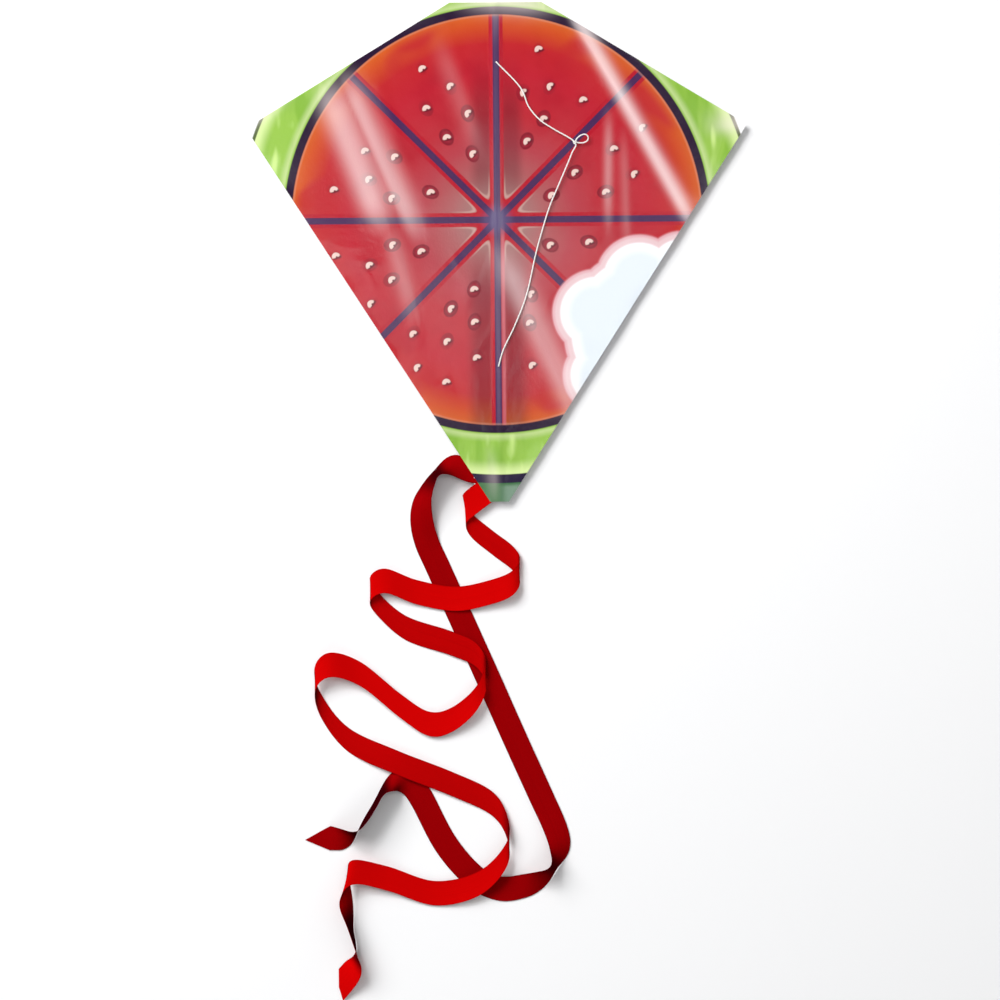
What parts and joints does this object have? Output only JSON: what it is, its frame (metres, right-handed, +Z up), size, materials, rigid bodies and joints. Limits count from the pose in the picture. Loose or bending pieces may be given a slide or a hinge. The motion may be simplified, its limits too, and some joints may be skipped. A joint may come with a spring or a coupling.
{
  "type": "diamond kite",
  "caption": "Diamond kite with a printed film sail, spine rod and split cross spar, string bridle with tow loop and two long ribbon tails.",
  "frame": {"origin": "on the floor under the middle of the sail, with the kite lying on its back", "axes": "+Z up, out of the printed face; +Y towards the nose; +X towards the right corner seen from the printed face"},
  "size_m": [0.59, 1.1766, 0.0298],
  "materials": {
    "printed_film": "glossy printed plastic film",
    "clear_film": "clear glossy film",
    "rod": "satin glass fibre rod",
    "vinyl": "soft white vinyl",
    "hub_plastic": "moulded black plastic",
    "sleeve_vinyl": "flexible dark vinyl tube",
    "string": "twisted white string",
    "ribbon": "satin red ribbon"
  },
  "bodies": {
    "frame": {"sail_centre": "printed_film", "spine_rod": "rod", "nose_cap": "vinyl", "tail_cap": "vinyl", "nose_pocket": "clear_film", "tail_pocket": "clear_film", "centre_hub": "hub_plastic", "upper_bridle_patch": "clear_film", "lower_bridle_patch": "clear_film", "upper_bridle_tie": "string", "lower_bridle_tie": "string", "tail_tape": "clear_film", "long_ribbon": "ribbon", "short_ribbon": "ribbon"},
    "left_wing": {"sail_left": "printed_film", "left_spar": "rod", "left_sleeve": "sleeve_vinyl", "left_tip_cap": "vinyl", "left_pocket": "clear_film"},
    "right_wing": {"sail_right": "printed_film", "right_spar": "rod", "right_sleeve": "sleeve_vinyl", "right_tip_cap": "vinyl", "right_pocket": "clear_film"},
    "bridle": {"bridle_line": "string", "bridle_knot": "string", "tow_loop": "string"}
  },
  "joints": [
    {"name": "left_wing_flex", "type": "hinge", "parent": "frame", "child": "left_wing", "pos_m": [0, 0.148, 0.0091], "axis": [0, -1, 0], "range_deg": [0, 20], "stiffness_Nm_per_rad": 0.6},
    {"name": "right_wing_flex", "type": "hinge", "parent": "frame", "child": "right_wing", "pos_m": [0, 0.148, 0.0091], "axis": [0, 1, 0], "range_deg": [0, 20], "stiffness_Nm_per_rad": 0.6},
    {"name": "bridle_swing", "type": "hinge", "parent": "frame", "child": "bridle", "pos_m": [0, 0.045, 0.0106], "axis": [0, -1, 0], "range_deg": [0, 165]}
  ]
}
